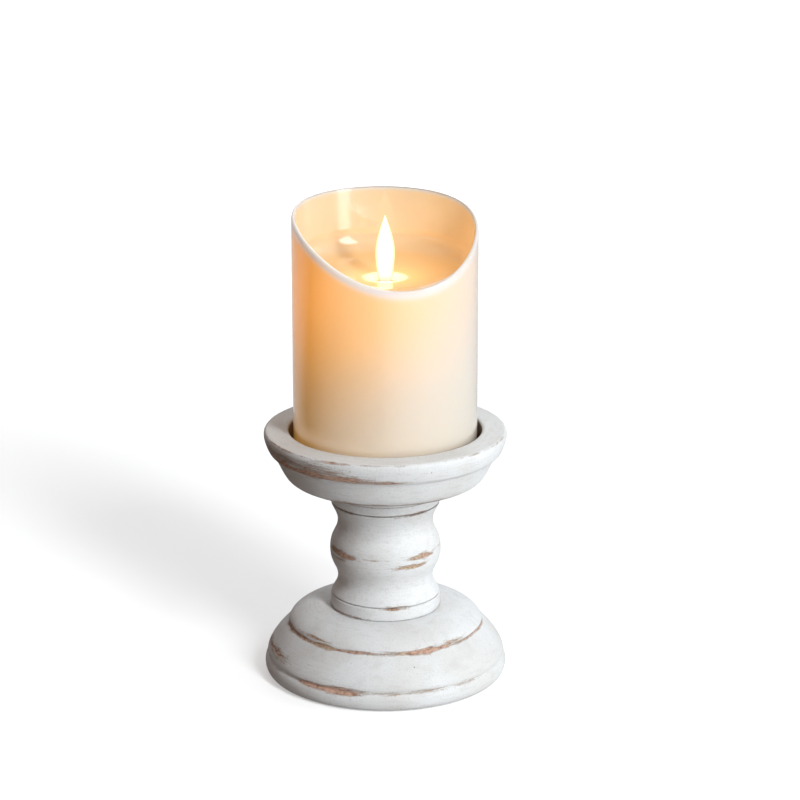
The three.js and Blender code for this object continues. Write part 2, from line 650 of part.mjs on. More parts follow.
function addCandle() {
  addPiece('candle_shell', shellGeometry(), IVORY());
  addPiece('melt_pool', poolGeometry(), IVORY());
  addMechanism();
  addBoard();
  addPiece('chassis', chassisGeometry(), BLACK_PLASTIC());
  addBatteries();
  addLeads();
  addUnderside();
}

// ---------------------------------------------------------------- the whole object

addHolder();
addCandle();
addFlame();
addPiece('battery_cover', batteryCoverGeometry(), CREAM_PLASTIC());
addPiece('mode_switch', switchKnobGeometry(), BLACK_PLASTIC());

export default candlestick;
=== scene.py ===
"""The looks of a whitewashed wooden candlestick and the battery candle standing in its dish.

Lengths are millimetres where a name says MM or a profile is drawn, and metres everywhere else.
The frame gives the overall sizes. +Z is up, -Y is the front, and +X is on the right.
"""

import math

import bpy
import numpy as np
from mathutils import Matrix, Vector


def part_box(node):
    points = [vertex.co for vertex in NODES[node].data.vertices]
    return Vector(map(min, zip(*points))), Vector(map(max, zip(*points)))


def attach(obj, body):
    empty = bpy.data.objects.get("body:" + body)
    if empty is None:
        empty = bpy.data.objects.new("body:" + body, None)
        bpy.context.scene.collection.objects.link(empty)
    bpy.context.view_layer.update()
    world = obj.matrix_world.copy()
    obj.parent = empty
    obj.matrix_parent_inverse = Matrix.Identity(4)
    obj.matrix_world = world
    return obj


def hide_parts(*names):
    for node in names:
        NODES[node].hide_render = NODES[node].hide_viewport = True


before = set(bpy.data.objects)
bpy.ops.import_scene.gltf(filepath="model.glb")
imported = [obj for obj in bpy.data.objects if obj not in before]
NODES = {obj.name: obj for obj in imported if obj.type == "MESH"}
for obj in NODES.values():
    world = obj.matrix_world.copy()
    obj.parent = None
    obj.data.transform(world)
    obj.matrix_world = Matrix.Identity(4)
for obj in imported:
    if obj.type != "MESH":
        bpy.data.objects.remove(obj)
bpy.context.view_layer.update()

MM = 0.001
SEGMENTS = 288                # steps round a turned piece
STEP_MM = 0.45                # spacing of points along a visible turned outline
CAD_MARGIN_MM = 0.02          # the fine surfaces keep this far inside the plain ones
SEED = 7
HANDWORK_MM = 0.05            # how far a turned surface wavers
WEAR_DEPTH_MM = 0.16          # how far bare wood lies below the paint

# Turned outlines, in millimetres: the same driving dimensions as the plain solids
FOOT_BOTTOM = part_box("base")[0].z / MM
FOOT_CREASE = (49.0, 8.0)
FOOT_STEP = (40.0, 21.6)
FOOT_TOP = 28.6
NECK_RADIUS = 22.7
SPINDLE_TOP = 80.6
LOW_GROOVE = 34.3
HIGH_GROOVE = 73.8
COLLAR = 77.6
COVE_RADIUS = 19.7
COVE_OFFSET = 12.2
BEAD_RADIUS = 22.9
MIDDLE = 53.65
TENON_RADIUS = 11
TENON_LOW = 14.9              # the ends of the two tenons
TENON_HIGH = 88.7
SOCKET_RADIUS = 11.3
SOCKET_LOW = 14.3             # the ends of the sockets that they stand in
SOCKET_HIGH = 89.3
SCREW_HOLE = 2.7
SCREW_HEAD_HOLE = 5.4
SCREW_CONE = SCREW_HEAD_HOLE - SCREW_HOLE    # the countersinks slope at 45 degrees
COUNTERSINK = 5.0
FELT_RECESS = (36.3, 2.0)     # radius and depth
FELT_HOLE = 8.0
PLUG_HOLE = 6.9
PLUG_FLOOR = 93.3
DISH_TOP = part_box("dish")[1].z / MM
DISH_RADIUS = 49.4
DISH_BAND = (47.6, 96.3)
DISH_GROOVE = (45.3, 94.3)
LIP_DROP = 0.4
DISH_EDGE = (DISH_RADIUS - 0.2, DISH_TOP - 0.6)
RECESS_RADIUS = 39.5
RECESS_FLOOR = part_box("screw_plug")[1].z / MM
CANDLE_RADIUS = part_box("candle_shell")[1].x / MM
CANDLE_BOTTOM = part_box("candle_shell")[0].z / MM
WALL = 2.5
INNER_RADIUS = CANDLE_RADIUS - WALL
RIM_ROUND = 1.6
RIM_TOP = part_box("candle_shell")[1].z / MM - RIM_ROUND
RIM_DROP = 25.7
RIM_LOW_ANGLE = math.radians(-76)
RIM_STEEPNESS = 1.0
POOL_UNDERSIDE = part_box("melt_pool")[0].z / MM
POOL_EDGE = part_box("melt_pool")[1].z / MM
POOL_FLOOR = POOL_UNDERSIDE + 2.5
POOL_OPENING = 5.5
POOL_RIM_OFFSET = 0.85
FLARE = 1.1                   # the inside of the wall opens out this much towards the rim
FLARE_HEIGHT = 17
WALL_LEAN = math.radians(15)  # the shading of the flared wall leans this much further
SHADED_GLOW_SIDE = math.radians(-155)    # the side where the shell's painted glow is strongest: the front-left, away from the windows
FLAME_LOW, FLAME_HIGH = (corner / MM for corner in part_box("flame"))
FLAME_BASE = (3.08, 169)      # half width and height
FLAME_WIDEST = 178.5
STALK_HALF = 1.88


# ---------------------------------------------------------------- outlines

def bend(start, start_pull, end_pull, end, steps=24):
    """Points of a Bezier stretch from one (radius, height) to another."""
    t = np.linspace(0, 1, steps + 1)[:, None]
    a, b, c, d = (np.array(point, float) for point in (start, start_pull, end_pull, end))
    points = (1 - t) ** 3 * a + 3 * (1 - t) ** 2 * t * b + 3 * (1 - t) * t ** 2 * c + t ** 3 * d
    return [tuple(point) for point in points]


def evenly(points, step=STEP_MM):
    """The same outline with evenly spaced points, its corners eased as paint and handling ease them."""
    points = np.array(points, float)
    lengths = np.hypot(*np.diff(points, axis=0).T)
    not_repeated = np.concatenate([[True], lengths > 1e-6])
    points = points[not_repeated]
    along = np.concatenate([[0], np.cumsum(np.hypot(*np.diff(points, axis=0).T))])
    places = np.linspace(0, along[-1], max(2, round(along[-1] / step)) + 1)
    spaced = np.column_stack([np.interp(places, along, column) for column in points.T])
    eased = spaced.copy()
    eased[1:-1] = 0.25 * spaced[:-2] + 0.5 * spaced[1:-1] + 0.25 * spaced[2:]
    return [tuple(point) for point in eased]


def foot_outline():
    """The foot in two tiers, as a visible and a hidden stretch. Both run anticlockwise."""
    visible = [
        (47.2, FOOT_BOTTOM),
        *bend((47.9, FOOT_BOTTOM), (50.6, 1.2), (50.6, 6.2), (FOOT_CREASE[0] + 0.1, 7.5)),
        (FOOT_CREASE[0] - 0.3, FOOT_CREASE[1]),
        *bend((FOOT_CREASE[0] - 0.1, 8.5), (50.1, 10.9), (44.1, 18.2), (FOOT_STEP[0] + 0.3, 21.1)),
        *bend(FOOT_STEP, (41, 24.6), (31, 30.9), (NECK_RADIUS - 0.4, FOOT_TOP)),
    ]
    felt_radius, felt_depth = FELT_RECESS
    hidden = [(SOCKET_RADIUS, FOOT_TOP), (SOCKET_RADIUS, SOCKET_LOW), (SCREW_HOLE, SOCKET_LOW),
              (SCREW_HOLE, COUNTERSINK + SCREW_CONE), (SCREW_HEAD_HOLE, COUNTERSINK),
              (SCREW_HEAD_HOLE, felt_depth),
              (felt_radius, felt_depth), (felt_radius, FOOT_BOTTOM)]
    return evenly(visible), hidden


def stem_outline():
    """The spindle: two end rings with grooves, and a bead between two coves."""
    shoulder = NECK_RADIUS - 0.3
    groove = NECK_RADIUS - 0.9
    low_cove, high_cove = (COVE_RADIUS, MIDDLE - COVE_OFFSET), (COVE_RADIUS, MIDDLE + COVE_OFFSET)
    bead = (BEAD_RADIUS, MIDDLE)
    visible = [
        (shoulder, FOOT_TOP + 0.3),
        (NECK_RADIUS, FOOT_TOP + 1.5),
        (NECK_RADIUS, LOW_GROOVE - 0.4),
        (groove, LOW_GROOVE),
        *bend((shoulder, LOW_GROOVE + 0.4), (shoulder - 1, LOW_GROOVE + 2.6),
              (COVE_RADIUS, low_cove[1] - 3), low_cove),
        *bend(low_cove, (COVE_RADIUS, low_cove[1] + 5), (BEAD_RADIUS, MIDDLE - 6.5), bead),
        *bend(bead, (BEAD_RADIUS, MIDDLE + 6.5), (COVE_RADIUS, high_cove[1] - 5), high_cove),
        *bend(high_cove, (COVE_RADIUS, high_cove[1] + 3), (shoulder - 1, HIGH_GROOVE - 2.6),
              (shoulder, HIGH_GROOVE - 0.4)),
        (groove, HIGH_GROOVE),
        (shoulder, HIGH_GROOVE + 0.4),
        (shoulder, COLLAR - 0.4),
        (shoulder - 0.3, COLLAR),
        (NECK_RADIUS, COLLAR + 0.4),
        (NECK_RADIUS, SPINDLE_TOP - 0.3),
    ]
    hidden = [(TENON_RADIUS, SPINDLE_TOP - 0.3), (TENON_RADIUS, TENON_HIGH), (SCREW_HOLE, TENON_HIGH),
              (SCREW_HOLE, TENON_LOW), (TENON_RADIUS, TENON_LOW), (TENON_RADIUS, FOOT_TOP + 0.3)]
    return evenly(visible, 0.25), hidden


def dish_outline():
    """The dish: a bowl below, a rounded band, a nearly flat lip and the candle's recess."""
    lip = DISH_TOP - LIP_DROP
    visible = [
        *bend((NECK_RADIUS + 0.3, SPINDLE_TOP), (42.4, 84.9), (38.9, 81.8), DISH_GROOVE),
        (DISH_GROOVE[0] + 0.6, DISH_GROOVE[1] + 1),
        *bend(DISH_BAND, (48.6, 98), (50.3, 102.2), (DISH_RADIUS, lip - 0.6)),
        (DISH_RADIUS - 0.5, lip),
        (RECESS_RADIUS + 0.6, DISH_TOP),
        (RECESS_RADIUS, DISH_TOP - 0.6),
        (RECESS_RADIUS, RECESS_FLOOR + 0.6),
        (RECESS_RADIUS - 0.6, RECESS_FLOOR),
        (PLUG_HOLE, RECESS_FLOOR),
    ]
    hidden = [(PLUG_HOLE, PLUG_FLOOR), (SCREW_HEAD_HOLE, PLUG_FLOOR),
              (SCREW_HOLE, PLUG_FLOOR - SCREW_CONE), (SCREW_HOLE, SOCKET_HIGH),
              (SOCKET_RADIUS, SOCKET_HIGH), (SOCKET_RADIUS, SPINDLE_TOP)]
    return evenly(visible), hidden


# ---------------------------------------------------------------- meshes

def ripple(angle, seed, lowest=2, highest=19):
    """A smooth random wave round the axis, from about -1 to 1, the same on each run."""
    draw = np.random.default_rng(SEED + seed)
    total = np.zeros_like(angle)
    weight = 0.0
    for count in range(lowest, highest):
        size = draw.uniform(0.4, 1.0) / count ** 0.35
        total += size * np.sin(count * angle + draw.uniform(0, 2 * math.pi))
        weight += size ** 2
    return total / math.sqrt(2 * weight)


def grid_mesh(name, corners, wrap_rows, caps=()):
    """A mesh from rows of points that each close into a loop. corners is rows x steps x 3, in metres."""
    rows, steps, _ = corners.shape
    index = np.arange(rows * steps).reshape(rows, steps)
    below = index if wrap_rows else index[:-1]
    above = np.roll(index, -1, 0) if wrap_rows else index[1:]
    beside_below, beside_above = np.roll(below, -1, 1), np.roll(above, -1, 1)
    quads = np.stack([below, beside_below, beside_above, above], -1).reshape(-1, 4)
    points = corners.reshape(-1, 3).tolist()
    faces = quads.tolist()
    for row, tip in caps:
        loop = index[row].tolist()
        points.append(tuple(tip))
        last = len(points) - 1
        for at, here in enumerate(loop):
            after = loop[(at + 1) % steps]
            faces.append((here, last, after) if row == 0 else (here, after, last))
    mesh = bpy.data.meshes.new(name)
    mesh.from_pydata(points, [], faces)
    mesh.validate()
    mesh.shade_smooth()
    piece = bpy.data.objects.new(name, mesh)
    bpy.context.scene.collection.objects.link(piece)
    return piece


def round_angles(steps=SEGMENTS):
    """Evenly spaced angles of one whole turn, in radians."""
    return np.linspace(0, 2 * math.pi, steps, endpoint=False)


def revolve(name, outline, steps=SEGMENTS, inset=None, caps=False):
    """Turns an outline in millimetres about +Z. inset(angle, radius, height) pulls its points inwards."""
    outline = np.array(outline, float)
    angle = round_angles(steps)[None, :]
    radius = np.repeat(outline[:, :1], steps, 1)
    height = np.repeat(outline[:, 1:], steps, 1)
    if inset is not None:
        radius = radius - inset(np.broadcast_to(angle, radius.shape), radius, height)
    corners = np.stack([radius * np.cos(angle), radius * np.sin(angle), height], -1) * MM
    ends = [(0, corners[0].mean(0)), (len(outline) - 1, corners[-1].mean(0))] if caps else ()
    return grid_mesh(name, corners, not caps, ends)


def store(piece, name, values):
    """Keeps one number for each vertex, for the material to read."""
    attribute = piece.data.attributes.new(name, "FLOAT", "POINT")
    attribute.data.foreach_set("value", np.asarray(values, np.float32).ravel())


def vertex_places(piece):
    """(angle, radius, height) of every vertex, in radians and millimetres."""
    found = np.empty(len(piece.data.vertices) * 3, np.float32)
    piece.data.vertices.foreach_get("co", found)
    x, y, z = found.reshape(-1, 3).T / MM
    return np.arctan2(y, x), np.hypot(x, y), z


def finish_piece(piece, material, body, node):
    """Gives a piece its material, the body it rides on and the plain solid it stands for."""
    piece.data.materials.append(material)
    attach(piece, body)
    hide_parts(node)


# ---------------------------------------------------------------- wear

# Where paint is rubbed through, and one line of painted shade drawn as bare wood: (radius, height), from and
# to in degrees round the axis (-90 is the front, 180 the left), half width in mm, and strength. Weak ones
# show as scratches.
FOOT_WEAR = [
    (FOOT_STEP, -178, -97, 0.9, 0.95),
    (FOOT_STEP, -91, -44, 1.1, 0.95),
    (FOOT_STEP, -46, 4, 0.8, 0.72),
    ((39.6, 22.8), -74, -30, 1.3, 0.5),
    ((39.4, 23.4), -152, -122, 0.5, 0.95),
    (FOOT_CREASE, -140, -101, 1.5, 1.0),
    (FOOT_CREASE, -104, -74, 0.8, 0.55),
    (FOOT_CREASE, -79, -58, 1.2, 0.74),
    (FOOT_CREASE, -57, -40, 1.0, 0.66),
    ((47.9, 13.0), 172, 214, 2.2, 0.62),
    (FOOT_STEP, 30, 76, 1.0, 0.95),
    (FOOT_STEP, 98, 150, 0.9, 0.9),
    (FOOT_CREASE, 40, 92, 1.3, 0.95),
    (FOOT_CREASE, 126, 172, 1.1, 0.85),
]
STEM_WEAR_AND_SHADE = [
    ((NECK_RADIUS, LOW_GROOVE), -97, -66, 0.75, 0.95),
    ((NECK_RADIUS, HIGH_GROOVE), -160, -120, 0.7, 0.9),
    ((NECK_RADIUS, HIGH_GROOVE), -80, -38, 0.8, 1.0),
    ((BEAD_RADIUS, MIDDLE + 1.4), -164, -121, 1.35, 1.1),
    ((BEAD_RADIUS, MIDDLE - 1.2), -162, -132, 0.45, 0.85),
    ((BEAD_RADIUS, MIDDLE + 1.6), -66, -34, 1.3, 1.05),
    ((BEAD_RADIUS, MIDDLE + 2.4), -34, 4, 0.4, 0.75),
    ((BEAD_RADIUS - 0.1, MIDDLE - 1.9), -77, -44, 1.1, 1.05),
    # painted shade: a brown line low on the left where the spindle meets the foot
    ((NECK_RADIUS, FOOT_TOP + 0.5), -172, -112, 0.6, 0.86),
    ((BEAD_RADIUS - 0.1, MIDDLE - 2.1), -90, -74, 0.4, 0.62),
    ((BEAD_RADIUS, MIDDLE + 4.9), -112, -98, 0.4, 0.92),
    ((BEAD_RADIUS, MIDDLE + 1.4), -118, -84, 0.35, 0.86),
    ((BEAD_RADIUS, MIDDLE + 0.9), 40, 88, 1.2, 0.95),
    ((BEAD_RADIUS - 0.2, MIDDLE - 2.2), 104, 140, 1.0, 0.9),
    ((NECK_RADIUS, HIGH_GROOVE), 40, 110, 0.8, 0.9),
    ((NECK_RADIUS, LOW_GROOVE), 60, 130, 0.8, 0.85),
]
DISH_WEAR = [
    ((48.0, 97.4), -180, -98, 2.2, 0.92),
    ((47.7, 96.7), -112, -80, 1.1, 0.8),
    ((49.0, 99.8), -178, -104, 3.0, 0.56),
    (DISH_EDGE, -178, -2, 0.45, 0.56),
    ((38.9, 84.7), -176, -40, 1.5, 0.62),
    (DISH_EDGE, -170, -138, 0.6, 0.6),
    (DISH_EDGE, -34, -2, 0.5, 0.6),
    ((48.0, 97.2), 24, 92, 1.6, 0.92),
    ((48.0, 97.2), 112, 150, 1.3, 0.85),
    (DISH_EDGE, 50, 140, 0.5, 0.6),
]
# Lines where grime and glaze collect in the grooves, and where shade is painted in under edges, at joints and
# in the candle's recess: (radius, height), half width in mm, and strength
FOOT_GRIME_AND_SHADE = [
    (FOOT_CREASE, 0.6, 0.22),
    # painted shadow under the step edge
    ((FOOT_STEP[0] + 0.2, FOOT_STEP[1] - 0.3), 0.3, 0.5),
    # painted shade where the spindle meets the foot
    ((NECK_RADIUS + 0.1, FOOT_TOP), 0.5, 0.35),
    # painted contact shade along the bottom edge
    ((47.4, FOOT_BOTTOM), 0.9, 0.7),
]
STEM_GRIME_AND_SHADE = [
    ((NECK_RADIUS - 0.7, LOW_GROOVE), 0.38, 0.66),
    ((NECK_RADIUS - 0.7, HIGH_GROOVE), 0.45, 0.9),
    ((NECK_RADIUS - 0.5, COLLAR), 0.35, 0.6),
    # painted shade where the spindle meets the foot
    ((NECK_RADIUS, FOOT_TOP + 0.3), 0.4, 0.35),
    # painted shade under the dish
    ((NECK_RADIUS, SPINDLE_TOP - 0.3), 0.6, 0.4),
]
DISH_GRIME_AND_SHADE = [
    (DISH_GROOVE, 0.8, 0.12),
    # painted shade on the underside of the bowl
    ((38.4, 84.2), 2.0, 0.5),
    # painted shade where the bowl meets the spindle
    ((NECK_RADIUS + 0.6, SPINDLE_TOP), 1.0, 0.5),
    # painted shade in the gap round the candle, on the recess wall and floor
    ((RECESS_RADIUS - 0.4, RECESS_FLOOR + 3.2), 3.0, 4.0),
    ((31, RECESS_FLOOR), 7, 0.5),
    ((48.8, 100.0), 3.4, 0.2),
    ((43.5, 91.0), 4.0, 0.14),
]


def fade(angle, start, end, edge=14.0):
    """1 inside an arc given in degrees, easing to 0 past its ends."""
    middle, half = math.radians((start + end) / 2), math.radians((end - start) / 2)
    away = np.abs((angle - middle + math.pi) % (2 * math.pi) - math.pi)
    return 1 / (1 + np.exp((away - half) / math.radians(edge) * 3))


def wear_and_shade_at(angle, radius, height, patches):
    """How far the paint is worn, and where shade is painted as bare wood, from 0 to about 1."""
    worn_and_shaded = np.zeros_like(radius)
    for number, ((line_radius, line_height), start, end, half_width, strength) in enumerate(patches):
        waver = ripple(angle, 10 + number, 4, 24)
        wander = 0.2 * half_width * ripple(angle, 60 + number, 3, 12)
        away = np.hypot(radius - line_radius, height - line_height - wander)
        width = half_width * (0.9 + 0.3 * waver).clip(0.3)
        across = np.exp(-((away / width) ** 2) * 0.7)
        worn_and_shaded = np.maximum(worn_and_shaded, strength * across * fade(angle, start, end))
    return worn_and_shaded


def grime_and_shade_at(radius, height, lines):
    """How much grime lies in the grooves, and how much shade is painted along the lines, from 0 to 1."""
    grime_and_shade = np.zeros_like(radius)
    for (line_radius, line_height), half_width, strength in lines:
        away = np.hypot(radius - line_radius, height - line_height)
        grime_and_shade = np.maximum(grime_and_shade, strength * np.exp(-((away / half_width) ** 2)))
    return grime_and_shade.clip(0, 1)


def turned_wood(name, outlines, patches, lines, material, node):
    """One turned piece: its surface dips a little where the paint is worn and wavers as handwork does."""
    visible, hidden = outlines

    def inset(angle, radius, height):
        waver = HANDWORK_MM * (1 + 0.8 * ripple(angle, len(visible), 2, 7))
        sunk = WEAR_DEPTH_MM * wear_and_shade_at(angle, radius, height, patches)
        seen = np.zeros_like(radius)
        seen[2:len(visible) - 2] = 1
        return CAD_MARGIN_MM + seen * (waver + sunk)

    piece = revolve(name, visible + hidden, inset=inset)
    angle, radius, height = vertex_places(piece)
    store(piece, "wear_and_shade", wear_and_shade_at(angle, radius, height, patches))
    store(piece, "grime_and_shade", grime_and_shade_at(radius, height, lines))
    finish_piece(piece, material, "holder", node)


# ---------------------------------------------------------------- material helpers

SLANT = 0.83                  # weighs radius against height, so that flat and upright stretches both streak


class Finish:
    """One material, with a call for each kind of node that the finishes use."""

    def __init__(self, name):
        self.material = bpy.data.materials.new(name)
        self.material.use_nodes = True
        self.tree = self.material.node_tree
        self.shader = self.tree.nodes["Principled BSDF"]

    def add(self, kind, inputs, **settings):
        """A new node with its settings made and its inputs fed."""
        node = self.tree.nodes.new("ShaderNode" + kind)
        for key, value in settings.items():
            setattr(node, key, value)
        for key, value in inputs.items():
            self.feed(node.inputs[key], value)
        return node

    def feed(self, socket, value):
        """Links another node's output to an input, or sets the input to a plain value."""
        if isinstance(value, bpy.types.NodeSocket):
            self.tree.links.new(value, socket)
        elif socket.type == "RGBA":
            socket.default_value = (*value, 1)
        else:
            socket.default_value = value

    def set(self, **values):
        """Sets the main shader's inputs; an underscore stands for a space in a name."""
        for key, value in values.items():
            self.feed(self.shader.inputs[key.replace("_", " ")], value)
        return self

    def math(self, operation, a, b=0.0):
        return self.add("Math", {0: a, 1: b}, operation=operation).outputs[0]

    def between(self, value, low, high, to_low=0.0, to_high=1.0):
        """An eased step: to_low where value is under low, to_high where it is over high."""
        inputs = {"Value": value, "From Min": low, "From Max": high, "To Min": to_low, "To Max": to_high}
        return self.add("MapRange", inputs, interpolation_type="SMOOTHSTEP").outputs["Result"]

    def mix(self, share, a, b):
        """Colour a where share is 0, and colour b where it is 1."""
        node = self.add("Mix", {0: share}, data_type="RGBA")
        self.feed(node.inputs[6], a)
        self.feed(node.inputs[7], b)
        return node.outputs[2]

    def noise(self, vector, scale=1.0, detail=2.0, roughness=0.5):
        inputs = {"Vector": vector, "Scale": scale, "Detail": detail, "Roughness": roughness}
        return self.add("TexNoise", inputs).outputs["Fac"]

    def vertex(self, name):
        """The number that store() kept for each vertex."""
        return self.add("Attribute", {}, attribute_name=name).outputs["Fac"]

    def place(self):
        """The point on the piece, in metres."""
        return self.add("TexCoord", {}).outputs["Object"]

    def parts(self, vector):
        """The three outputs x, y and z of a point or colour."""
        return self.add("SeparateXYZ", {0: vector}).outputs

    def vector(self, x, y, z):
        return self.add("CombineXYZ", {0: x, 1: y, 2: z}).outputs[0]

    def around(self, point):
        """(cosine, sine, radius, distance along a turned outline) of a point."""
        x, y, z = self.parts(point)
        squares = self.math("ADD", self.math("MULTIPLY", x, x), self.math("MULTIPLY", y, y))
        radius = self.math("SQRT", squares)
        safe = self.math("MAXIMUM", radius, 1e-5)
        along = self.math("ADD", z, self.math("MULTIPLY", radius, SLANT))
        return self.math("DIVIDE", x, safe), self.math("DIVIDE", y, safe), radius, along

    def streaks(self, cosine, sine, along, round_scale, along_scale, detail=2.0):
        """Noise drawn out round the axis: round_scale and along_scale are how often it changes."""
        vector = self.vector(
            self.math("MULTIPLY", cosine, round_scale),
            self.math("MULTIPLY", sine, round_scale),
            self.math("MULTIPLY", along, along_scale),
        )
        return self.noise(vector, 1.0, detail, 0.55)

    def bump(self, height, distance, normal=None):
        """Raises the surface by distance metres where height is 1."""
        inputs = {"Height": height, "Distance": distance, "Strength": 1.0}
        if normal is not None:
            inputs["Normal"] = normal
        return self.add("Bump", inputs).outputs["Normal"]


# ---------------------------------------------------------------- materials

PAINT_FRESH = (0.86, 0.865, 0.87)
PAINT_GREYED = (0.79, 0.775, 0.76)
PAINT_BRUSHED = (0.56, 0.52, 0.48)
PAINT_DOTTED = (0.50, 0.46, 0.43)
WOOD_PINKISH = (0.72, 0.48, 0.375)
WOOD_TAN = (0.64, 0.49, 0.35)
WOOD_DARK_GRAIN = (0.34, 0.19, 0.13)
GLAZE_BROWN = (0.38, 0.28, 0.22)
# colour of the grime and of the painted shade
GRIME_AND_SHADE_BROWN = (0.085, 0.05, 0.034)
PIT_BROWN = (0.17, 0.12, 0.09)
BLACK = (0.03, 0.03, 0.032)


def whitewashed_wood():
    """Chalky brushed paint over brown wood, rubbed through in streaks, with grime in the grooves and painted
    shade under edges, at joints and in the candle's recess.
    """
    m = Finish("whitewashed_wood")
    point = m.place()
    cosine, sine, _, along = m.around(point)
    turning = m.streaks(cosine, sine, along, 1.3, 2300, 2)
    brush = m.streaks(cosine, sine, along, 6, 900, 3)
    rubbed = m.streaks(cosine, sine, along, 5, 2400, 3)
    scratches = m.streaks(cosine, sine, along, 13, 4200, 2)
    cloudy = m.noise(point, 38, 3)
    dots = m.noise(point, 1500, 2, 0.6)

    jitter = m.math("MULTIPLY", m.math("SUBTRACT", rubbed, 0.5), 1.15)
    jitter = m.math("ADD", jitter, m.math("MULTIPLY", m.math("SUBTRACT", scratches, 0.5), 0.6))
    jitter = m.math("ADD", jitter, m.math("MULTIPLY", m.math("SUBTRACT", dots, 0.5), 0.4))
    # worn paint, and one line of painted shade on the spindle
    wear_and_shade_level = m.math("ADD", m.vertex("wear_and_shade"), jitter)
    bare = m.between(wear_and_shade_level, 0.48, 0.66)
    thin = m.between(wear_and_shade_level, 0.20, 0.56)

    cells = m.add("TexVoronoi", {"Vector": point, "Scale": 150.0, "Randomness": 1.0})
    cell_share = m.parts(cells.outputs["Color"])[0]
    pit_near = m.between(cells.outputs["Distance"], 0.02, 0.06, 1.0, 0.0)
    pits = m.math("MULTIPLY", pit_near, m.between(cell_share, 0.74, 0.76))

    paint = m.mix(m.between(cloudy, 0.35, 0.72), PAINT_FRESH, PAINT_GREYED)
    paint = m.mix(m.math("MULTIPLY", m.between(brush, 0.48, 0.74), 0.22), paint, PAINT_BRUSHED)
    paint = m.mix(m.math("MULTIPLY", m.between(dots, 0.52, 0.70), 0.24), paint, PAINT_DOTTED)
    grain = m.streaks(cosine, sine, along, 22, 1500, 4)
    tint = m.between(m.noise(point, 60, 1), 0.52, 0.68)
    lit_wood = m.mix(tint, WOOD_PINKISH, WOOD_TAN)
    wood = m.mix(m.between(grain, 0.34, 0.72), lit_wood, WOOD_DARK_GRAIN)
    glaze = m.mix(m.math("MULTIPLY", thin, 0.6), paint, GLAZE_BROWN)
    colour = m.mix(bare, glaze, wood)
    grime_and_shade_level = m.math("ADD", m.vertex("grime_and_shade"), m.math("MULTIPLY", jitter, 0.45))
    grime_and_shade = m.math("MULTIPLY", m.between(grime_and_shade_level, 0.15, 1.0), 0.9)
    # grime in the grooves, and painted shade under edges, at joints and in the recess
    colour = m.mix(grime_and_shade, colour, GRIME_AND_SHADE_BROWN)
    colour = m.mix(m.math("MULTIPLY", pits, 0.8), colour, PIT_BROWN)

    normal = m.bump(cloudy, 0.00012)
    normal = m.bump(brush, 0.00013, normal)
    normal = m.bump(turning, 0.00009, normal)
    normal = m.bump(dots, 0.00008, normal)
    normal = m.bump(m.math("SUBTRACT", 1.0, m.math("MAXIMUM", bare, pits)), 0.00016, normal)
    roughness = m.math("ADD", m.between(bare, 0, 1, 0.52, 0.7), m.math("MULTIPLY", brush, 0.14))
    return m.set(Base_Color=colour, Roughness=roughness, Normal=normal, Specular_IOR_Level=0.3).material


def bare_wood():
    """Plain sealed wood with its grain running across."""
    m = Finish("bare_wood")
    x, y, z = m.parts(m.place())
    stretched = m.vector(m.math("MULTIPLY", x, 90), m.math("MULTIPLY", y, 900), m.math("MULTIPLY", z, 900))
    grain = m.noise(stretched, 1.0, 4, 0.6)
    colour = m.mix(m.between(grain, 0.3, 0.7), (0.48, 0.28, 0.15), (0.25, 0.12, 0.06))
    return m.set(Base_Color=colour, Roughness=m.between(grain, 0.2, 0.8, 0.5, 0.7),
                 Normal=m.bump(grain, 0.00006)).material


def felt():
    """Short matted fibres."""
    m = Finish("felt")
    point = m.place()
    fibre = m.noise(point, 2600, 4, 0.7)
    patchy = m.noise(point, 160, 2)
    colour = m.mix(m.math("MULTIPLY", fibre, patchy), (0.10, 0.085, 0.075), (0.24, 0.21, 0.19))
    return m.set(Base_Color=colour, Roughness=0.95, Normal=m.bump(fibre, 0.00025),
                 Sheen_Weight=0.4).material


RIM_WHITE = (0.80, 0.74, 0.70)
IVORY_PALE = (0.69, 0.66, 0.60)
# warmer base colour where the glow is strong: painted lamp light
IVORY_PAINTED_LAMPLIT = (0.84, 0.64, 0.39)
INSIDE_PALE = (0.86, 0.65, 0.43)
# darker, more orange floor of the bowl: painted shade
POOL_SHADED_WARM = (0.80, 0.54, 0.28)
GLOW_HIGH = (1.0, 0.34, 0.012)
GLOW_LOW = (1.0, 0.45, 0.03)
GLOW_INSIDE = (1.0, 0.47, 0.11)
# warm white light on the rim: a painted highlight
RIM_PAINTED_HIGHLIGHT = (1.0, 0.84, 0.76)
LAMP_WHITE = (1.0, 0.90, 0.52)
HALO_GLOW = (1.0, 0.60, 0.12)
HOUSING_GLOW = (1.0, 0.62, 0.20)
FLAME_WHITE = (1.0, 0.93, 0.70)
FLAME_EDGE = (1.0, 0.70, 0.16)
IVORY_CLOUDY = (0.80, 0.62, 0.40)
IVORY_SKIN = {"Coat_Weight": 1.0, "Coat_Roughness": 0.04, "Subsurface_Weight": 0.2,
              "Subsurface_Radius": (0.005, 0.003, 0.0015), "Subsurface_Scale": 1.0}


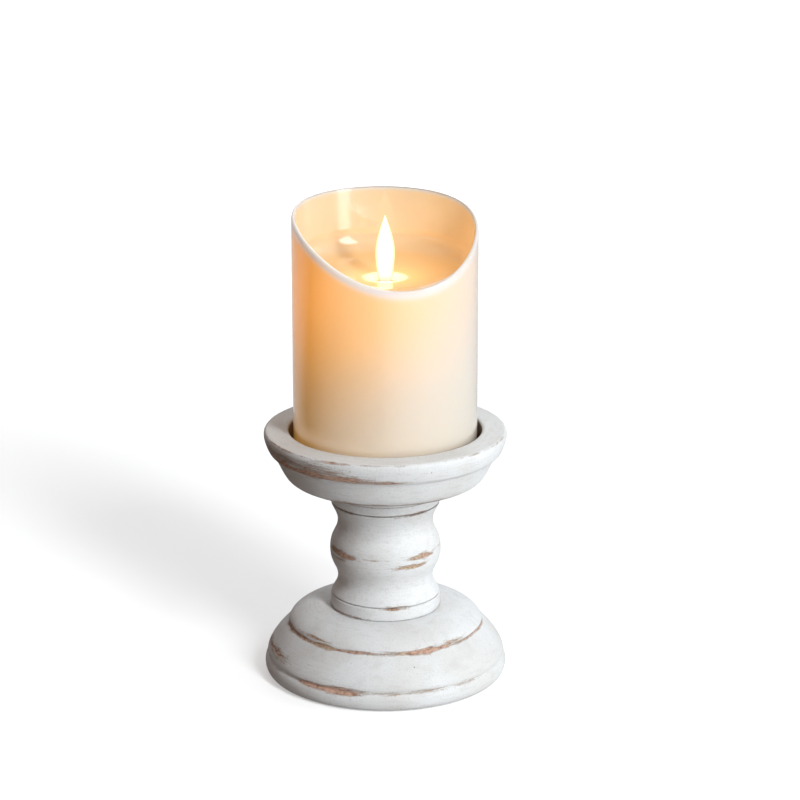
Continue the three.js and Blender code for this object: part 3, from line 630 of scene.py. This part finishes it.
def ivory_shell():
    """Glossy cream plastic, lit from inside: the attribute glow says how much light comes through."""
    m = Finish("ivory_shell")
    point = m.place()
    height = m.parts(point)[2]
    cloudy = m.noise(point, 30, 3)
    ripples = m.noise(point, 85, 2)
    fine = m.noise(point, 900, 2)
    glow = m.vertex("glow")
    inside = m.vertex("inside")
    crown = m.vertex("crown")
    # painted lamp light: the base colour is warmer where the glow is stronger
    base = m.mix(m.between(glow, 0.1, 0.55), IVORY_PALE, IVORY_PAINTED_LAMPLIT)
    base = m.mix(crown, m.mix(inside, base, INSIDE_PALE), RIM_WHITE)
    base = m.mix(m.between(cloudy, 0.3, 0.8, 0.0, 0.12), base, IVORY_CLOUDY)
    outside = m.mix(m.between(height, 0.105, 0.16), GLOW_LOW, GLOW_HIGH)
    # the rim glows warm white: a painted highlight
    colour = m.mix(crown, m.mix(inside, outside, GLOW_INSIDE), RIM_PAINTED_HIGHLIGHT)
    strength = m.math("MULTIPLY", glow, m.between(cloudy, 0.2, 0.8, 0.92, 1.08))
    normal = m.bump(m.math("MULTIPLY", m.vertex("lean"), -1.0), 1.0)
    normal = m.bump(ripples, 0.00014, normal)
    normal = m.bump(fine, 0.000006, normal)
    roughness = m.math("ADD", m.between(cloudy, 0.2, 0.8, 0.26, 0.36), m.math("MULTIPLY", inside, -0.16))
    return m.set(Base_Color=base, Roughness=roughness, Normal=normal, **IVORY_SKIN,
                 Emission_Color=colour, Emission_Strength=strength).material


def melt_pool():
    """The same plastic as a shallow bowl, flooded with lamp light round the flame."""
    m = Finish("melt_pool")
    point = m.place()
    _, _, radius, _ = m.around(point)
    cloudy = m.noise(point, 30, 3)
    waves = m.noise(point, 120, 2)
    glow = m.vertex("glow")
    reach = m.math("ADD", radius, m.math("MULTIPLY", m.math("SUBTRACT", waves, 0.5), 0.002))
    near = m.between(reach, 0.0078, 0.0112, 1.0, 0.0)
    halo = m.between(reach, 0.0085, 0.020, 1.0, 0.0)
    colour = m.mix(near, m.mix(halo, GLOW_INSIDE, HALO_GLOW), LAMP_WHITE)
    strength = m.math("MAXIMUM", m.math("MULTIPLY", near, 1.3), glow)
    # painted shade: the bowl's floor is darker and more orange, paling near the wall
    base = m.mix(m.between(radius, 0.028, 0.035), POOL_SHADED_WARM, INSIDE_PALE)
    base = m.mix(m.between(cloudy, 0.3, 0.8, 0.0, 0.12), base, IVORY_CLOUDY)
    return m.set(Base_Color=base, Roughness=m.between(cloudy, 0.2, 0.8, 0.10, 0.20),
                 Normal=m.bump(waves, 0.00008), **IVORY_SKIN,
                 Emission_Color=colour, Emission_Strength=strength).material


def flame_plastic():
    """A milky blade, white hot in the middle and yellower at its rim and stalk."""
    m = Finish("flame_plastic")
    point = m.place()
    height = m.parts(point)[2]
    rim = m.vertex("rim")
    base = m.between(height, (POOL_FLOOR - 4) * MM, (POOL_FLOOR + 3) * MM)
    colour = m.mix(rim, FLAME_WHITE, FLAME_EDGE)
    strength = m.math("MULTIPLY", base, m.between(rim, 0.0, 1.0, 1.25, 0.85))
    frosted = m.noise(point, 1200, 2)
    return m.set(Base_Color=(0.40, 0.37, 0.30), Roughness=0.4, Normal=m.bump(frosted, 0.00002),
                 Emission_Color=colour, Emission_Strength=strength).material


def moulded(name, colour, roughness):
    """Injection-moulded plastic with a fine spark-eroded grain."""
    m = Finish(name)
    point = m.place()
    grain = m.noise(point, 1400, 3, 0.6)
    cloudy = m.noise(point, 60, 2)
    darker = tuple(0.82 * part for part in colour)
    return m.set(Base_Color=m.mix(cloudy, colour, darker),
                 Roughness=m.between(grain, 0.25, 0.75, roughness - 0.08, roughness + 0.1),
                 Normal=m.bump(grain, 0.00003)).material


def lamp_housing():
    """Black plastic round the lamp: its inside is flooded with warm light."""
    m = Finish("lamp_housing")
    point = m.place()
    _, _, radius, _ = m.around(point)
    height = m.parts(point)[2]
    grain = m.noise(point, 1400, 3, 0.6)
    lit = m.math("MULTIPLY", m.between(radius, 0.0138, 0.0142, 1.0, 0.0), m.between(height, 0.142, 0.150))
    return m.set(Base_Color=BLACK, Roughness=m.between(grain, 0.25, 0.75, 0.37, 0.55),
                 Normal=m.bump(grain, 0.00003), Emission_Color=HOUSING_GLOW,
                 Emission_Strength=m.math("MULTIPLY", lit, 0.9)).material


def metal(name, colour, roughness, scale=(200, 200, 2600)):
    """Drawn or rolled metal with fine lines."""
    m = Finish(name)
    x, y, z = m.parts(m.place())
    stretched = m.vector(*(m.math("MULTIPLY", part, size) for part, size in zip((x, y, z), scale)))
    lines = m.noise(stretched, 1.0, 3, 0.6)
    duller = tuple(0.7 * part for part in colour)
    return m.set(Base_Color=m.mix(m.between(lines, 0.4, 0.75), colour, duller), Metallic=1.0,
                 Roughness=m.between(lines, 0.2, 0.8, roughness - 0.08, roughness + 0.12),
                 Normal=m.bump(lines, 0.00001)).material


def copper_winding():
    """Enamelled wire laid in turns."""
    m = Finish("copper")
    height = m.parts(m.place())[2]
    turns = m.add("TexWave", {"Vector": m.vector(0.0, 0.0, height), "Scale": 700.0, "Distortion": 0.4},
                  bands_direction="Z").outputs["Fac"]
    colour = m.mix(turns, (0.32, 0.10, 0.03), (0.80, 0.38, 0.17))
    return m.set(Base_Color=colour, Metallic=1.0, Roughness=0.32, Normal=m.bump(turns, 0.0001)).material


def circuit_board():
    """Green solder mask with lighter tracks."""
    m = Finish("board_green")
    point = m.place()
    cells = m.add("TexVoronoi", {"Vector": point, "Scale": 260.0}, feature="DISTANCE_TO_EDGE")
    track = m.between(cells.outputs["Distance"], 0.05, 0.08, 1.0, 0.0)
    colour = m.mix(track, (0.02, 0.13, 0.06), (0.07, 0.30, 0.15))
    return m.set(Base_Color=colour, Roughness=0.32, Normal=m.bump(track, 0.00003)).material


# ---------------------------------------------------------------- holder

def make_holder(wood):
    """The three turned pieces, the felt under them and the plug over the screw."""
    turned_wood("foot", foot_outline(), FOOT_WEAR, FOOT_GRIME_AND_SHADE, wood, "base")
    turned_wood("spindle", stem_outline(), STEM_WEAR_AND_SHADE, STEM_GRIME_AND_SHADE, wood, "stem")
    turned_wood("dish_bowl", dish_outline(), DISH_WEAR, DISH_GRIME_AND_SHADE, wood, "dish")

    make_felt()
    make_plug()


def make_felt():
    """A ring with eased edges that waver a little, as cut felt does."""
    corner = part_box("felt_pad")[1] / MM
    outer, top = corner.x - CAD_MARGIN_MM, corner.z
    bottom = CAD_MARGIN_MM
    ease = 0.4
    ring = evenly([
        (FELT_HOLE + ease, bottom),
        (outer - ease, bottom),
        (outer, ease),
        (outer, top - 0.3),
        (outer - ease, top),
        (FELT_HOLE + ease, top),
        (FELT_HOLE, top - ease),
        (FELT_HOLE, ease),
    ], 0.8)

    def ragged(angle, _radius, _height):
        return 0.12 * (1 + ripple(angle, 3, 20, 60))

    pad = revolve("felt_ring", ring, 192, ragged)
    finish_piece(pad, felt(), "holder", "felt_pad")


def make_plug():
    """A slightly domed wooden button over the dish screw."""
    low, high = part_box("screw_plug")
    outer = high.x / MM - CAD_MARGIN_MM
    bottom, top = low.z / MM, high.z / MM - 0.02
    button = evenly([(0.05, bottom), (outer, bottom), (outer, top - 0.7), (outer - 0.5, top - 0.25),
                     (0.6 * outer, top - 0.02), (0.05, top)], 0.4)
    plug = revolve("plug_button", button, 96, caps=True)
    finish_piece(plug, bare_wood(), "holder", "screw_plug")


# ---------------------------------------------------------------- candle

# How much lamp light comes through the plastic: far from the lamp, and how much more near it
GLOW_FAR, GLOW_NEAR = 0.19, 0.42
OUTER_GLOW_FAR, OUTER_GLOW_NEAR = 0.22, 0.50
GLOW_CORE = 8                 # the inside glows fully this near the foot of the flame
GLOW_REACH = 15               # and fades over this distance beyond
GLOW_SIDEWAYS = 0.75
OUTER_GLOW_HEIGHT = 168       # the outside glows most at this height
OUTER_GLOW_REACH = 34
DARK_SIDE = 0.22              # the share of the outer glow that is left on the side away from SHADED_GLOW_SIDE
RIM_GLOW_LOST = 0.55          # the share of the glow that the thick rim holds back
WALL_STEPS = 90


def rim_height(angle):
    """Height of the rim's outer edge, in millimetres. It dips at the front."""
    turn = 1 - np.cos(angle - RIM_LOW_ANGLE)
    rise = np.tanh(RIM_STEEPNESS * turn) / math.tanh(2 * RIM_STEEPNESS)
    return RIM_TOP - RIM_DROP * (1 - rise)


def lamp_glow(angle, radius, height):
    """How brightly the inside glows: by distance from the foot of the flame, and more on the right."""
    away = np.hypot(radius, height - POOL_FLOOR)
    near = np.exp(-((away - GLOW_CORE).clip(0) / GLOW_REACH) ** 2)
    sideways = 1 + GLOW_SIDEWAYS * (radius / INNER_RADIUS) ** 2 * np.cos(angle)
    return (GLOW_FAR + GLOW_NEAR * near) * sideways


def wall_radius(angle, height):
    """Radius of the inside of the wall, in millimetres. It opens out towards the rim."""
    up = (height - rim_height(angle) - RIM_ROUND + FLARE_HEIGHT) / FLARE_HEIGHT
    return INNER_RADIUS + FLARE * np.clip(up, 0, 1) ** 1.5


def make_shell():
    """A tube whose walls run up to the dipping rim, with the rim rounded like melted wax."""
    angle = round_angles()
    level = np.ones_like(angle)
    outer, inner = CANDLE_RADIUS - CAD_MARGIN_MM, INNER_RADIUS
    rim = rim_height(angle)
    top = RIM_ROUND - 0.05
    lip = inner + FLARE
    foot = CANDLE_BOTTOM + 0.01
    wall_foot, wall_top = foot + 0.8, rim - 0.9
    rim_profile = [
        (outer, -0.9),
        *bend((outer, -0.4), (outer, 0.9), (outer - 0.3, top), (outer - 0.9, top), 14),
        *bend((lip + 0.3, top), (lip + 0.1, top), (lip, top - 0.2), (lip, top - 0.6), 5),
    ]
    rows = [(inner, foot * level), (outer - 0.8, foot * level), (outer - 0.2, (foot + 0.25) * level),
            (outer, wall_foot * level)]
    for step in range(1, WALL_STEPS):
        rows.append((outer, wall_foot + (wall_top - wall_foot) * step / WALL_STEPS))
    rows += [(radius, rim + lift) for radius, lift in rim_profile]
    for step in range(1, WALL_STEPS):
        share = (step / WALL_STEPS) ** 1.6
        height = (rim + top - 0.6) * (1 - share) + foot * share
        rows.append((wall_radius(angle, height), height))
    corners = np.stack([np.stack([radius * np.cos(angle), radius * np.sin(angle), height], -1)
                        for radius, height in rows]) * MM
    piece = grid_mesh("candle_body", corners, True)

    around, radius, height = vertex_places(piece)
    below_rim = rim_height(around) + RIM_ROUND - height
    inside = ((radius < INNER_RADIUS + FLARE + 0.1) & (below_rim > 0.3)).astype(float)
    # The pale rim and its painted highlight reach down a little way, less on the inside and with a harder
    # edge there
    crown_depth = np.where(inside > 0, 1.2, 2.8)
    crown_edge = np.where(inside > 0, 0.3, 0.6)
    crown = 1 / (1 + np.exp((below_rim - crown_depth) / crown_edge))
    # the outer glow is painted strongest on the front-left, away from the windows
    towards_shaded_side = DARK_SIDE + (1 - DARK_SIDE) * (0.5 + 0.5 * np.cos(around - SHADED_GLOW_SIDE)) ** 1.5
    near_lamp = np.exp(-((height - OUTER_GLOW_HEIGHT) / OUTER_GLOW_REACH) ** 2)
    outer_glow = (OUTER_GLOW_FAR + OUTER_GLOW_NEAR * near_lamp) * towards_shaded_side
    glow = np.where(inside > 0, lamp_glow(around, radius, height), outer_glow)
    lean = np.clip(FLARE_HEIGHT - below_rim, 0, FLARE_HEIGHT) * inside * math.tan(WALL_LEAN)
    store(piece, "inside", inside)
    store(piece, "lean", lean * MM)
    store(piece, "crown", crown)
    store(piece, "glow", glow * (1 - RIM_GLOW_LOST * crown))
    finish_piece(piece, ivory_shell(), "candle", "candle_shell")


def make_pool():
    """A shallow bowl that curves up into the wall, cut off where the rim dips below its edge."""
    edge = INNER_RADIUS + 0.1     # it runs into the wall, so no line shows where they meet
    outline = evenly([
        (POOL_OPENING + 0.3, POOL_UNDERSIDE),
        (edge - 0.4, POOL_UNDERSIDE),
        (edge, POOL_UNDERSIDE + 0.4),
        (edge, POOL_EDGE - 0.05),
        *bend((edge - 0.05, POOL_EDGE - 0.05), (edge - 0.9, POOL_FLOOR + 2.2), (25, POOL_FLOOR + 0.6),
              (14, POOL_FLOOR + 0.1)),
        (POOL_OPENING + 0.7, POOL_FLOOR),
        (POOL_OPENING, POOL_FLOOR - 0.6),
        (POOL_OPENING, POOL_UNDERSIDE + 0.3),
    ], 0.4)
    piece = revolve("pool_bowl", outline, SEGMENTS)
    angle, radius, height = vertex_places(piece)
    height = np.minimum(height, rim_height(angle) + POOL_RIM_OFFSET)
    near_wall = np.clip((radius - edge + 3) / 3, 0, 1)
    radius = radius + near_wall * (wall_radius(angle, height) - INNER_RADIUS)
    moved = np.column_stack([radius * np.cos(angle), radius * np.sin(angle), height]) * MM
    piece.data.vertices.foreach_set("co", moved.astype(np.float32).ravel())
    store(piece, "glow", lamp_glow(*vertex_places(piece)))
    finish_piece(piece, melt_pool(), "candle", "melt_pool")


def make_flame():
    """A teardrop blade with a lens-shaped section, on a flat stalk."""
    half_width = FLAME_HIGH.x - CAD_MARGIN_MM
    thick = FLAME_HIGH.y - CAD_MARGIN_MM
    tip = (0.12, FLAME_HIGH.z - CAD_MARGIN_MM)
    foot = FLAME_LOW.z + CAD_MARGIN_MM
    shoulder = (STALK_HALF, POOL_UNDERSIDE - 1)
    base_half, base_height = FLAME_BASE
    widest = (half_width, FLAME_WIDEST)
    side = bend(shoulder, (STALK_HALF, shoulder[1] + 1.5), (base_half - 0.2, base_height - 2), FLAME_BASE, 14)
    side += bend(FLAME_BASE, (base_half + 0.3, base_height + 3), (half_width, FLAME_WIDEST - 4), widest)[1:]
    side += bend(widest, (half_width, FLAME_WIDEST + 5), (1.5, tip[1] - 3.5), tip, 36)[1:]
    stalk = [(STALK_HALF, height) for height in np.linspace(foot, shoulder[1], 36)[:-1]]
    outline = stalk + side
    turns = 40
    angle = round_angles(turns)
    rows = []
    for width, height in outline:
        leaf = np.clip((height - shoulder[1]) / 4, 0, 1)
        depth = thick * (1 - leaf * (1 - min(1.0, (width / half_width) ** 0.5)))
        power = 0.35 + 0.45 * leaf    # a rounded box at the stalk, and a lens at the blade
        across = np.sign(np.cos(angle)) * np.abs(np.cos(angle)) ** power * width
        through = np.sign(np.sin(angle)) * np.abs(np.sin(angle)) ** power * depth
        rows.append(np.stack([across, through, np.full(turns, height)], -1))
    corners = np.stack(rows) * MM
    ends = [(0, corners[0].mean(0)), (len(rows) - 1, corners[-1].mean(0))]
    piece = grid_mesh("flame_blade", corners, False, ends)

    turn, radius, height = vertex_places(piece)
    across = np.abs(radius * np.cos(turn))
    widths, heights = np.array(outline).T
    half_here = np.interp(height, heights, widths).clip(0.3)
    rim_starts = 0.62
    rim = np.clip((across / half_here - rim_starts) / (1 - rim_starts), 0, 1) ** 1.5
    store(piece, "rim", rim)
    finish_piece(piece, flame_plastic(), "flame", "flame")


def dress_inner_parts():
    """The plain solids that stay get finishes of their own."""
    black = moulded("black_plastic", BLACK, 0.45)
    cream = moulded("cream_plastic", (0.78, 0.68, 0.50), 0.42)
    clear = moulded("clear_plastic", (0.90, 0.84, 0.66), 0.16)
    steel = metal("steel", (0.62, 0.63, 0.65), 0.3)
    jacket = metal("cell_jacket", (0.30, 0.32, 0.35), 0.35, (2600, 200, 200))
    leads = {"battery_lead_red": (0.50, 0.03, 0.02), "battery_lead_black": (0.02, 0.02, 0.02),
             "switch_lead": (0.50, 0.50, 0.50)}
    finishes = {
        lamp_housing(): ["mechanism_housing"],
        black: ["led_holder", "board_chip", "chassis", "battery_box", "switch_body",
                "mode_switch"],
        cream: ["bottom_cap", "battery_cover"],
        clear: ["led"],
        steel: ["base_screw", "dish_screw", "flame_wire", "coil_core", "flame_magnet",
                *(name for name in NODES if name.startswith(("contact_", "cap_screw_")))],
        jacket: ["battery_a", "battery_b", "board_capacitor"],
        copper_winding(): ["drive_coil"],
        circuit_board(): ["circuit_board"],
    }
    for name, colour in leads.items():
        finishes[moulded(name, colour, 0.5)] = [name]
    for material, names in finishes.items():
        for name in names:
            for slot in NODES[name].material_slots:
                slot.material = material


# ---------------------------------------------------------------- stage, light and camera

CAMERA_ELEVATION = math.radians(17.03)
CAMERA_DISTANCE = 1.185
CAMERA_SHIFT_RIGHT = 0.006
AIM_HEIGHT = 0.1165
LENS_MM = 131.2
SENSOR_MM = 36
SKY_LEFT = (0.11, 0.062, 0.036)
SKY_RIGHT = (0.42, 0.45, 0.48)
MIRRORED_FRONT = (0.10, 0.09, 0.08)
FLOOR_LEFT = (0.12, 0.08, 0.055)
DAYLIGHT = (0.94, 0.985, 1.0)
PAPER = (0.95, 0.95, 0.95)
WHITE = (1.0, 1.0, 1.0)
FLOOR_HALF = 4.0
WINDOW_DISTANCE = 2.0


def make_camera():
    """In front, looking slightly down, with the object a little left of the middle."""
    data = bpy.data.cameras.new("camera")
    data.lens, data.sensor_width = LENS_MM, SENSOR_MM
    camera = bpy.data.objects.new("camera", data)
    back = Vector((0, -math.cos(CAMERA_ELEVATION), math.sin(CAMERA_ELEVATION)))
    camera.location = Vector((CAMERA_SHIFT_RIGHT, 0, AIM_HEIGHT)) + CAMERA_DISTANCE * back
    camera.rotation_euler = (math.pi / 2 - CAMERA_ELEVATION, 0, 0)
    bpy.context.scene.collection.objects.link(camera)
    bpy.context.scene.camera = camera


def window_pane(name, azimuth, elevation, size, power, mirrored=False):
    """A pane of daylight aimed at the object. Azimuth 0 is +X and -90 the front, in degrees.

    One kind lights surfaces, and the other is only seen mirrored in them.
    """
    data = bpy.data.lights.new(name, "AREA")
    data.shape, data.size, data.size_y = "RECTANGLE", *size
    data.energy, data.color = power, DAYLIGHT
    light = bpy.data.objects.new(name, data)
    light.visible_glossy = mirrored
    light.visible_diffuse = not mirrored
    a, e = math.radians(azimuth), math.radians(elevation)
    away = Vector((math.cos(a) * math.cos(e), math.sin(a) * math.cos(e), math.sin(e)))
    light.location = Vector((0, 0, 0.1)) + WINDOW_DISTANCE * away
    light.rotation_euler = away.to_track_quat("Z", "Y").to_euler()
    bpy.context.scene.collection.objects.link(light)


def make_world():
    """Dim warm light from the left, brighter cool light from the right. It looks white itself."""
    world = bpy.data.worlds.new("studio")
    world.use_nodes = True
    bpy.context.scene.world = world
    nodes, links = world.node_tree.nodes, world.node_tree.links
    background = nodes["Background"]
    place = nodes.new("ShaderNodeTexCoord")
    parts = nodes.new("ShaderNodeSeparateXYZ")
    rays = nodes.new("ShaderNodeLightPath")

    def blend(share, low, high):
        node = nodes.new("ShaderNodeMix")
        node.data_type = "RGBA"
        links.new(share, node.inputs[0])
        for socket, value in ((node.inputs[6], low), (node.inputs[7], high)):
            if isinstance(value, tuple):
                socket.default_value = (*value, 1)
            else:
                links.new(value, socket)
        return node.outputs[2]

    def ramp(value, low, high):
        node = nodes.new("ShaderNodeMapRange")
        node.inputs["From Min"].default_value = low
        node.inputs["From Max"].default_value = high
        links.new(value, node.inputs["Value"])
        return node.outputs["Result"]

    links.new(place.outputs["Generated"], parts.inputs[0])
    lighting = blend(ramp(parts.outputs["X"], -1, 1), SKY_LEFT, SKY_RIGHT)
    mirrored = blend(ramp(parts.outputs["Y"], -0.1, 0.6), MIRRORED_FRONT, WHITE)
    shown = blend(rays.outputs["Is Glossy Ray"], lighting, mirrored)
    shown = blend(rays.outputs["Is Camera Ray"], shown, WHITE)
    links.new(shown, background.inputs["Color"])


def make_floor():
    """A wide pale floor. The light that bounces off it is dimmer and warmer on the left."""
    corners = [(x * FLOOR_HALF, y * FLOOR_HALF, 0) for x, y in ((-1, -1), (1, -1), (1, 1), (-1, 1))]
    mesh = bpy.data.meshes.new("floor")
    mesh.from_pydata(corners, [], [(0, 1, 2, 3)])
    floor = bpy.data.objects.new("floor", mesh)
    bpy.context.scene.collection.objects.link(floor)
    m = Finish("pale_floor")
    rays = m.add("LightPath", {}).outputs
    seen = rays["Is Camera Ray"]
    point = m.place()
    _, _, distance, _ = m.around(point)
    lift = m.between(distance, 0.15, 1.1, 0.42, 0.9)
    x, y, _ = m.parts(point)
    bounced = m.mix(m.between(x, -0.15, 0.13), FLOOR_LEFT, PAPER)
    behind = m.math("MULTIPLY", rays["Is Glossy Ray"], m.between(y, 0.1, 0.3))
    bounced = m.mix(behind, bounced, PAPER)
    m.set(Base_Color=m.mix(seen, bounced, PAPER), Roughness=0.9, Specular_IOR_Level=0.0,
          Emission_Color=WHITE, Emission_Strength=m.math("MULTIPLY", seen, lift))
    mesh.materials.append(m.material)


def make_stage():
    """Camera, surroundings and the windows that light the object."""
    make_camera()
    make_world()
    make_floor()
    window_pane("window_near", -57, 29, (0.34, 1.35), 30)
    window_pane("window_far", 4, 28, (0.34, 1.3), 5)
    window_pane("window_back", 88, 30, (1.6, 1.0), 6.5)
    window_pane("window_glint", -33, 29, (0.6, 1.35), 14, mirrored=True)
    bpy.context.scene.view_settings.view_transform = "Standard"


make_stage()
make_holder(whitewashed_wood())
make_shell()
make_pool()
make_flame()
dress_inner_parts()
